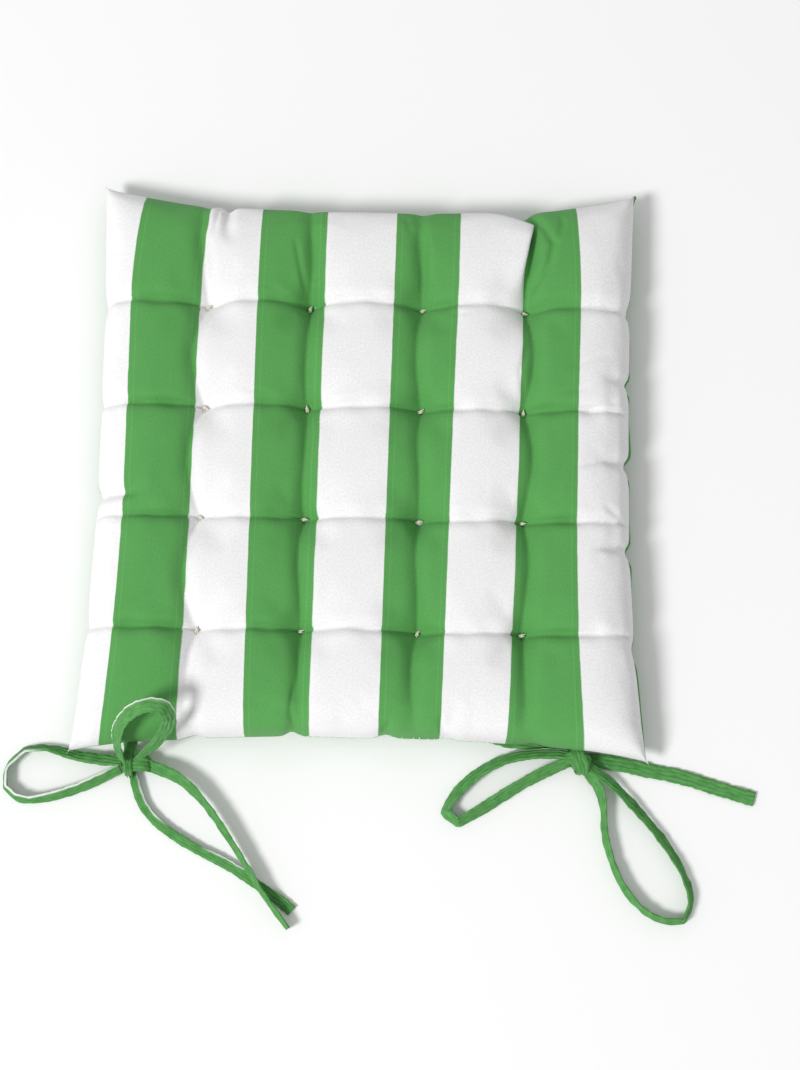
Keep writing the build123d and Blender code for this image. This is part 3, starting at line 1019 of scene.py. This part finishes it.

# %% [markdown]
# ## One cell slips over the next
# At the front right the seam was gathered into a pleat, so the pale cell there hangs over the green
# one beside it. A simulation that doesn't know where the cloth was pleated can't find that, so the
# points near the pleat are moved by given amounts, most at the seam and not at all at the tuft.

# %% Fold the cell over
# How far the overlapping cell slips across, back and up, and how its neighbour sinks beneath it
overlap_shift = np.array([0.0115, -0.0120, 0.0035])
underlap_shift = np.array([-0.0030, 0.0006, -0.0060])
overlap_width, underlap_width = 0.016, 0.009
draw_back_reach = 0.080
reach_below = 0.022


def fold_over(places):
    """The front seam's pale cell by the fourth column, slipped over its green neighbour."""
    moved = places.copy()
    column = tuft_lines[3]
    for panel in ("top", "bottom"):
        for along_step in range(column, cells + 1):
            to_seam = (cells - along_step) * cell_size
            risen = eased(1.3 * (along_step - column) / (cells - column))
            drawn_back = eased(1 - to_seam / draw_back_reach)
            for across_step in range(column - 14, column + 15):
                if panel == "bottom":
                    if along_step == cells:
                        continue
                    risen = math.exp(-to_seam / reach_below)
                aside = (across_step - column) * cell_size + 0.001
                over = aside <= 0
                near = bell(aside, overlap_width if over else underlap_width)
                shift = (overlap_shift if over else underlap_shift) * (1, drawn_back, 1) * near
                moved[number_of[panel, across_step, along_step]] += shift * risen
    return moved


unfolded_places = bag_places
bag_places = fold_over(unfolded_places)
low, high = bag_places.min(axis=0) * 1000, bag_places.max(axis=0) * 1000
print("bag, mm:", np.round(low, 1), "to", np.round(high, 1))

# %% [markdown]
# ## Finish the panels
# The simulated bag is split into its two cloths at the seam. One round of subdivision smooths the
# squares of the grid. Then come the things that are smaller than a square: the sharp pressed line
# along each row of tufts, and fine slanting pulls near the tufts, moved into the mesh itself so that
# they show in any light.

# %% Make the panel pieces
# The cloth was not laid quite square under the tufts: how far the stripes stray across the cut, in
# millimetres, at ten places from left to right, and how much more they do towards the front
stray_places = np.array([-217, -183, -133, -83, -33, 17, 67, 117, 167, 217])
stripe_stray = np.array([0, 4.5, 2.5, 0, 2.3, 0.5, -2.2, 2.6, -7.5, 0])
stripe_lean = np.array([0, 0, 2.5, 0.5, 2.2, 3.4, 6.5, 7.5, 2.5, 0])


def on_cloth(place):
    """Where a point of the sewn bag lies on the striped cloth, in metres."""
    across_mm = place[0] * 1000
    stray = np.interp(across_mm, stray_places, stripe_stray)
    lean = np.interp(across_mm, stray_places, stripe_lean) * place[1] / cut_half_width
    near_front = eased((place[1] / cut_half_width - 0.55) / 0.45)
    flare = np.interp(across_mm, [-217, -170, -60, 60, 150, 217], [0, 9, 0, 0, -8, 0]) * near_front
    return (across_mm - stray - lean - flare) / 1000, place[1]


# Where the back cloth peeks out along the right seam, and over what share of its length
lip_places = [(0.97, 0.05), (0.31, 0.05), (0.06, 0.09), (-0.27, 0.08), (-0.75, 0.14)]


def lip_of_seam(share_x, share_y):
    """How far the back cloth stands out beyond the seam."""
    right = eased((share_x - 0.9) / 0.08)
    near_pinch = sum(bell(share_y - place, spread) for place, spread in lip_places)
    return 0.0001 + 0.0016 * right * min(1.0, near_pinch)


def panel_piece(name, panel, finish):
    """One cloth of the bag as its own object, with its cut map."""
    used, local, faces = own_numbers(panel_faces[panel])
    places = [tuple(bag_places[number]) for number in used]
    on_map = [cut_places[number][:2] for number in used]
    if panel == "bottom":
        rim = [(step, 0) for step in range(cells)] + [(cells, step) for step in range(cells)]
        rim += [(step, cells) for step in range(cells, 0, -1)]
        rim += [(0, step) for step in range(cells, 0, -1)]
        outer = []
        for across_step, along_step in rim:
            number = number_of["top", across_step, along_step]
            share_x, share_y = shares_of(across_step, along_step)
            lip = lip_of_seam(share_x, share_y)
            way = np.array([share_x if abs(share_x) == 1 else 0, share_y if abs(share_y) == 1 else 0, 0])
            places.append(tuple(bag_places[number] + way / np.linalg.norm(way) * lip - (0, 0, 0.0006)))
            on_map.append((cut_places[number][0] * 1.01, cut_places[number][1] * 1.01))
            outer.append(len(places) - 1)
        for index, (across_step, along_step) in enumerate(rim):
            after = (index + 1) % len(rim)
            inner = [local[number_of["top", *rim[spot]]] for spot in (index, after)]
            faces.append((inner[0], inner[1], outer[after], outer[index]))
    piece = new_piece(name, places, faces, finish)
    if panel == "top":
        put_on_map(piece.data, "cut", [on_cloth(place) for place in on_map])
        put_on_map(piece.data, "as_cut", on_map)
    else:
        put_on_map(piece.data, "cut", on_map)
    return piece


def subdivide_once(piece):
    """One round of subdivision made real in the mesh."""
    rounding = piece.modifiers.new("round", "SUBSURF")
    rounding.levels = 1
    rounding.boundary_smooth = "PRESERVE_CORNERS"
    evaluated = bpy.context.evaluated_depsgraph_get()
    shaped = bpy.data.meshes.new_from_object(
        piece.evaluated_get(evaluated), preserve_all_data_layers=True, depsgraph=evaluated)
    old = piece.data
    piece.modifiers.clear()
    piece.data = shaped
    shaped.name = piece.name
    bpy.data.meshes.remove(old)


top_panel = panel_piece("top_panel_cloth", "top", striped_cotton)
bottom_panel = panel_piece("bottom_panel_cloth", "bottom", green_cotton)
subdivide_once(top_panel)
print("top panel faces:", len(top_panel.data.polygons), "underside faces:", len(bottom_panel.data.polygons))

# %% [markdown]
# ## Creases and wrinkles
# The cloth is pinched into a narrow line along each row of tufts and a shallower one along each column.
# A fainter line runs beside each row here and there. The larger wrinkles follow short routes on the cut
# cloth and fade out at both ends.

# %% Press the sharp fold lines
fold_line_depth = 0.0021
fold_line_width = 0.0015
column_line_share = 0.6
second_line_share = 0.4
second_line_gap = 0.0034
second_line_width = 0.0012
slant_depth = 0.00030


# Wrinkles that belong to no row or column: corners on the cut cloth, depth and half width, in mm
wrinkles = [
    ([(132, 205), (133, 187), (143, 167), (140, 153), (129, 138), (124, 127)], 2.6, 2.4),
    ([(147, 196), (149, 182), (145, 170)], 1.4, 1.8),
    ([(-116, 203), (-119, 184), (-122, 166)], 1.9, 2.2), ([(-111, 200), (-113, 186)], 1.3, 1.8),
    ([(-54, 172), (-49, 152), (-42, 128)], 1.6, 2.0), ([(26, 192), (31, 172)], 0.9, 2.0),
    ([(41, 180), (41, 128)], 1.2, 1.8), ([(160, 36), (196, 52)], 1.4, 2.4),
    ([(152, -4), (180, 4), (206, 3)], 1.5, 2.2), ([(168, -62), (208, -56)], 1.6, 2.2),
    ([(176, -26), (206, -44)], 1.2, 2.4), ([(150, 72), (190, 90)], 1.0, 2.6),
    ([(128, 100), (120, 70), (124, 46)], 1.0, 2.0), ([(-42, -208), (-46, -186), (-42, -160)], 1.6, 2.2),
    ([(18, -207), (24, -190)], 1.2, 2.0), ([(62, -206), (58, -184)], 1.2, 2.0),
    ([(-196, -24), (-168, -26)], 1.6, 2.4), ([(-194, 52), (-174, 42)], 0.9, 2.4),
    ([(-60, 131), (-84, 136)], 0.7, 1.6), ([(60, 116), (84, 118)], 0.7, 1.6),
    ([(-66, 48), (-96, 52)], 0.7, 1.6), ([(58, -34), (86, -36)], 0.7, 1.6),
    ([(140, 50), (172, 60)], 0.8, 1.8), ([(-150, -34), (-188, -38)], 0.8, 1.8),
]


def wrinkle_depth(place, line, depth, width):
    """How far a wrinkle sinks the cloth at a place on the cut, in metres."""
    corners = np.array(line, float)
    best, total = 1e9, len(corners) - 1
    for index in range(total):
        start, run = corners[index], corners[index + 1] - corners[index]
        share = min(1.0, max(0.0, float((place - start) @ run / (run @ run))))
        gap = float(np.hypot(*(place - start - run * share)))
        if gap < best:
            best, way_along = gap, (index + share) / total
    taper = eased(way_along / 0.3) * eased((1 - way_along) / 0.3)
    return depth / 1000 * taper * bell(best, width)


def wrinkle_shift(on_cut):
    """The depth of all the wrinkles at each point of the cut."""
    shift = np.zeros(len(on_cut))
    on_cut_mm = on_cut * 1000
    for line, depth, width in wrinkles:
        low, high = np.min(line, axis=0) - 3 * width, np.max(line, axis=0) + 3 * width
        near = np.all((on_cut_mm > low) & (on_cut_mm < high), axis=1)
        for index in np.nonzero(near)[0]:
            shift[index] += wrinkle_depth(on_cut_mm[index], line, depth, width)
    return shift


def press_fold_lines(piece):
    """Sinks a narrow line along each row and column of tufts, and light slanting pulls beside them."""
    mesh = piece.data
    count = len(mesh.vertices)
    places = np.empty(count * 3)
    mesh.vertices.foreach_get("co", places)
    normals = np.empty(count * 3)
    mesh.vertices.foreach_get("normal", normals)
    places, normals = places.reshape(-1, 3), normals.reshape(-1, 3)
    on_cut = np.zeros((count, 2))
    corner_vertices = np.empty(len(mesh.loops), dtype=int)
    mesh.loops.foreach_get("vertex_index", corner_vertices)
    corner_places = np.empty(len(mesh.loops) * 2)
    mesh.uv_layers["as_cut"].data.foreach_get("uv", corner_places)
    on_cut[corner_vertices] = corner_places.reshape(-1, 2)
    mesh.uv_layers.remove(mesh.uv_layers["as_cut"])
    steps = (on_cut / cut_half_width + 1) * cells / 2
    shift = -wrinkle_shift(on_cut)
    for index in range(count):
        across_step, along_step = steps[index]
        to_column, to_row, _, _ = nearest_fold(across_step, along_step)
        seam_inset = min(across_step, cells - across_step) * cell_size
        fade = eased(seam_inset / 0.02)
        shift[index] -= fold_line_depth * bell(to_row, fold_line_width) * fade
        outer_fade = eased(min(along_step, cells - along_step) / tuft_lines[0])
        column_line = outer_fade * bell(to_column, fold_line_width)
        shift[index] -= column_line_share * fold_line_depth * column_line
        beside = to_row - second_line_gap - 0.0008 * math.sin(on_cut[index, 0] * 90)
        partly = max(0.0, math.sin(on_cut[index, 0] * 41 + 2 * on_cut[index, 1] * 31))
        second_line = partly * bell(beside, second_line_width) * fade
        shift[index] -= second_line_share * fold_line_depth * second_line
        slant = math.sin(on_cut[index, 0] * 260 + on_cut[index, 1] * 120)
        slant += math.sin(on_cut[index, 0] * 173 - on_cut[index, 1] * 211 + 1.3)
        near_fold = bell(to_row, 0.010) + 0.6 * bell(to_column, 0.008)
        shift[index] += slant_depth * slant * near_fold * fade
    moved = places + normals * shift[:, None]
    mesh.vertices.foreach_set("co", moved.astype(np.float32).ravel())
    mesh.update()


press_fold_lines(top_panel)
for piece, node, slot_name in ((top_panel, "top_panel", "striped_cloth"),
                               (bottom_panel, "bottom_panel", "green_cloth")):
    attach(piece, "pad")
    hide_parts(node)
print("fold lines pressed")

# %% [markdown]
# ## The filling
# Inside is loose fibre. It never shows unless a seam opens, but the pad is a real assembly, so the
# filling is its own closed piece: the bag's own shape, drawn in by a few millimetres.

# %% Fill the bag
gap_below_top = 0.0048
gap_above_back = 0.0020
least_wadding = 0.004
wadding_share = 0.97


def fibre_finish():
    """Matted white fibre."""
    finish, tree, shader = new_finish("polyester fibre", 0.95, 0.3)
    source = tree.nodes.new("ShaderNodeTexCoord")
    tufted = soft_patches(tree, source.outputs["Object"], 180.0, 6.0)
    tree.links.new(mix_colours(tree, tufted, (0.78, 0.78, 0.77), (0.9, 0.9, 0.89)),
                   shader.inputs["Base Color"])
    bump_from(tree, shader, tufted, 0.7, 0.001)
    return finish


def make_filling():
    """A closed piece inside the bag, from every second grid line."""
    used, local, faces = own_numbers(grid_faces("top", 2) + grid_faces("bottom", 2))
    places = []
    for number in used:
        before, after = unfolded_places[number], bag_places[number]
        places.append((before[0], min(before[1], after[1]), after[2]))
    moved = np.array(places)
    for panel, shift, lowest in (("top", -gap_below_top, np.min), ("bottom", gap_above_back, np.max)):
        for along_step in range(2, cells - 1, 2):
            for across_step in range(2, cells - 1, 2):
                around = [bag_places[number_of[panel, min(cells, max(0, across_step + a)),
                                               min(cells, max(0, along_step + b))]][2]
                          for a in (-3, -2, 0, 2, 3) for b in (-3, -2, 0, 2, 3)]
                number = local[number_of[panel, across_step, along_step]]
                moved[number, 2] = lowest(around) + shift
                if panel == "top":
                    below = local[number_of["bottom", across_step, along_step]]
                    moved[number, 2] = max(moved[number, 2], places[below][2] + least_wadding)
    moved[:, :2] *= wadding_share
    return new_piece("fibre_wadding", moved, faces, fibre_finish())


filling = make_filling()
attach(filling, "pad")
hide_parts("fibre_filling")
print("filling faces:", len(filling.data.polygons))

# %% [markdown]
# ## Thread
# Three kinds of stitching hold the pad together: the seam, hidden just inside the edge, the tuft
# stitches, which show as small pale knots at the bottom of each dimple, and a ragged row of overcast
# stitches at the rear, where the bag was closed after filling. Thread is a thin tube along a short
# path, so one helper makes all of it.

# %% Spin thread
def thread_tubes(name, paths, radius, finish, sides=7):
    """One piece made of many short round threads with closed ends."""
    places, faces = [], []
    for path in paths:
        line = np.array(path, float)
        travel = unit(np.gradient(line, axis=0))
        helper = np.array([0.31, 0.21, 0.93]) if abs(travel[0][2]) < 0.8 else np.array([0.9, 0.3, 0.1])
        first = unit(np.cross(travel, helper))
        second = np.cross(travel, first)
        start = len(places)
        last = len(line) - 1
        for station, place in enumerate(line):
            swell = 0.55 if station in (0, last) else 1.0
            for side in range(sides):
                angle = 2 * math.pi * side / sides
                offset = first[station] * math.cos(angle) + second[station] * math.sin(angle)
                places.append(tuple(place + offset * radius * swell))
        faces += tube_faces(len(line), sides, start=start)
    piece = new_piece(name, places, faces, finish)
    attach(piece, "pad")
    return piece


def arch(start, end, lift, steps=8, side=(0, 0, 0)):
    """A short thread from start to end that bows out in the middle."""
    start, end, side = np.array(start, float), np.array(end, float), np.array(side, float)
    points = []
    for step in range(steps + 1):
        share = step / steps
        bow = math.sin(math.pi * share)
        points.append(start * (1 - share) + end * share + np.array([0, 0, lift]) * bow + side * bow)
    return points


# %% Tie the tufts
stitch_draw = random.Random(41)


def tuft_stitch(name, place_x, place_y, top_level):
    """One tuft: a doubled thread through the pad, with a short bar at each face and a small knot with a tail
    on top.
    """
    lean_angle = stitch_draw.choice((0.15, -0.2, 1.35, 1.6, 0.4, 1.2)) + stitch_draw.uniform(-0.25, 0.25)
    reach = stitch_draw.uniform(0.0018, 0.0025)
    heading = np.array([math.cos(lean_angle), math.sin(lean_angle), 0])
    beside = np.array([-heading[1], heading[0], 0]) * 0.00055
    middle = np.array([place_x, place_y, 0.0])
    paths = []
    for sign in (-1, 1):
        shaft = middle + beside * sign * 0.7
        paths.append([shaft + (0, 0, tuft_bottom), shaft + (0, 0, (tuft_bottom + top_level) / 2),
                      shaft + (0, 0, top_level + 0.0003)])
        for level, up in ((top_level + 0.0005, 1), (tuft_bottom - 0.0004, -1)):
            start = middle - heading * reach + beside * sign + (0, 0, level)
            end = middle + heading * reach * stitch_draw.uniform(0.8, 1.1) + beside * sign + (0, 0, level)
            paths.append(arch(start, end, 0.0009 * up * stitch_draw.uniform(0.6, 1.1)))
    knot_turns = []
    for step in range(15):
        angle = 2 * math.pi * step / 9
        knot_turns.append(middle + heading * (0.0004 * math.cos(angle) - 0.0005 + step * 0.00007)
                          + beside * (1.9 * math.cos(angle))
                          + np.array([0, 0, top_level + 0.0012 + 0.0008 * math.sin(angle)]))
    paths.append(knot_turns)
    tail = middle + heading * 0.0004 + (0, 0, top_level + 0.0018)
    paths.append(arch(tail, tail + heading * 0.0024 + beside * stitch_draw.uniform(-2.5, 2.5)
                      - (0, 0, 0.0004), 0.0006, 5))
    piece = thread_tubes(name, paths, 0.00042, cream_thread)
    return piece


for row in range(4):
    for column in range(4):
        node = f"tuft_row{row + 1}_column{column + 1}"
        tuft = tuft_stitch(node + "_stitch", tuft_columns[column], tuft_rows[row],
                           tuft_top - tuft_sink[row][column])
        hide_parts(node)
print("tufts tied:", 16)

# %% Sew the seam
def seam_line(side):
    """The simulated seam along one side, from low x or y to high."""
    if side in ("rear", "front"):
        along_step = 0 if side == "rear" else cells
        return np.array([bag_places[number_of["top", step, along_step]] for step in range(cells + 1)])
    across_step = 0 if side == "left" else cells
    return np.array([bag_places[number_of["top", across_step, step]] for step in range(cells + 1)])


def stitches_along(line, inward, stitch, gap):
    """A running line of short stitches, set in from the edge."""
    spaced = even_steps(line, stitch + gap)
    paths = []
    for start, after in zip(spaced[:-1], spaced[1:]):
        end = start + (after - start) * stitch / (stitch + gap)
        paths.append([start + inward, (start + end) / 2 + inward, end + inward])
    return paths


stitch_inset = 0.006
stitch_length = 0.0026
stitch_gap = 0.0004
corner_cells = 8
seam_thread_radius = 0.00028
seam_paths = []
inward_of = {"rear": (0, 1, 0), "front": (0, -1, 0), "left": (1, 0, 0), "right": (-1, 0, 0)}
for side, inward in inward_of.items():
    line = seam_line(side)[corner_cells:-corner_cells]
    seam_paths += stitches_along(line, np.array(inward) * stitch_inset, stitch_length, stitch_gap)
seam_stitches = thread_tubes("seam_stitches", seam_paths, seam_thread_radius, white_thread, sides=5)
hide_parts("seam_thread")
print("seam stitches:", len(seam_paths))

# %% [markdown]
# ## The hand-closed gap
# The bag is stuffed through a gap in its rear seam, and the gap is then closed from outside. Those
# stitches go over the edge, so they show, and their spacing and slant are less regular than the seam's.

# %% Close the rear opening
closing_from, closing_to = -0.040, 0.095
closing_draw = random.Random(17)


def closing_paths():
    """Overcast stitches that go over the rear edge, none quite like its neighbour."""
    rear = seam_line("rear")
    order = np.argsort(rear[:, 0])
    paths = []
    x = closing_from
    while x < closing_to:
        edge_y = float(np.interp(x, rear[order, 0], rear[order, 1]))
        edge_z = float(np.interp(x, rear[order, 0], rear[order, 2]))
        slant = closing_draw.uniform(0.0006, 0.0024)
        rise, fall = closing_draw.uniform(0.0010, 0.0024), closing_draw.uniform(0.0006, 0.0012)
        top_end = (x + slant, edge_y + 0.0010, edge_z + rise)
        edge = (x + slant / 2, edge_y - closing_draw.uniform(0.0003, 0.0008), edge_z)
        low_end = (x, edge_y + 0.0012, edge_z - fall)
        paths.append(arch(low_end, edge, 0, 4) + arch(edge, top_end, 0, 4)[1:])
        x += closing_draw.uniform(0.0026, 0.0058)
    return paths


closing_thread_radius = 0.00036
overcast = closing_paths()
closing_stitches = thread_tubes("closing_overcast", overcast, closing_thread_radius, white_thread)
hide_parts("closing_stitches")
for node in ("left_tie_stitching", "right_tie_stitching"):
    for material_slot in bpy.data.objects[node].material_slots:
        material_slot.link = "OBJECT"
        material_slot.material = green_thread
print("closing stitches:", len(overcast))

# %% [markdown]
# ## The stems
# Between the seam and the knot each tie has a short flat stem. It is sewn to the pad at one end and
# swings with the bow at the other.

# %% Lay the stems
def make_stem(name, knot_place, seed):
    """A short tape from inside the rear seam down to the knot."""
    x, y, _ = knot_place
    root, edge = y + 0.016, y + 0.009
    corners = [(x, root, 0.0150), (x, edge, 0.0148), (x, y + 0.005, 0.0132), (x, y + 0.001, 0.0098)]
    line = even_steps(smooth_route(name, corners), tape_step)
    across, outward = lay_of_tape(line, along(line, [(0, 0), (1, 4)]))
    widths = along(line, [(0, 10), (0.6, 9), (1, 7)]) / 1000
    stem = tape_mesh(name + "_tape", line, across, outward, widths, [(0, 0)] * len(line), seed)
    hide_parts(name)
    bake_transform(stem)
    return stem


left_stem = make_stem("left_tie_stem", left_knot_place, 83)
right_stem = make_stem("right_tie_stem", right_knot_place, 89)
print("stems laid:", left_stem.name, right_stem.name)

# %% [markdown]
# ## Table and light
# A near-white table and an even sky keep the colours honest. One large soft lamp from the lower left
# gives the folds their shape and throws the soft shadow to the right of the pad.

# %% Set the table and the lamps
def table_finish():
    """A pale, nearly even surface."""
    finish, tree, shader = new_finish("pale table", 0.9)
    source = tree.nodes.new("ShaderNodeTexCoord")
    clouds = soft_patches(tree, source.outputs["Object"], 2.0)
    tree.links.new(mix_colours(tree, clouds, (0.91, 0.91, 0.91), (0.93, 0.93, 0.93)),
                   shader.inputs["Base Color"])
    return finish


table_reach = 4
table_level = -0.0004
corner_signs = ((-1, -1), (1, -1), (1, 1), (-1, 1))
table_corners = [(table_reach * a, table_reach * b, table_level) for a, b in corner_signs]
table = new_piece("table", table_corners, [(0, 1, 2, 3)], table_finish())

world = bpy.data.worlds.new("sky")
world.use_nodes = True
sky = world.node_tree.nodes["Background"]
sky.inputs["Color"].default_value = (1, 1, 1, 1)
sky.inputs["Strength"].default_value = 0.54
scene.world = world

lamp_data = bpy.data.lights.new("soft lamp", "AREA")
lamp_data.shape = "DISK"
lamp_data.size = 1.5
lamp_data.energy = 230
lamp = bpy.data.objects.new("soft lamp", lamp_data)
scene.collection.objects.link(lamp)
lamp.location = (-3.1, -2.3, 4.2)
lamp.rotation_euler = (Vector((0, 0, 0)) - lamp.location).to_track_quat("-Z", "Y").to_euler()
print("lamp power, W:", lamp_data.energy)

# %% [markdown]
# ## Update the scene
# Cloth may stand a little proud of the solid model.

# %% Update the scene
bpy.context.view_layer.update()
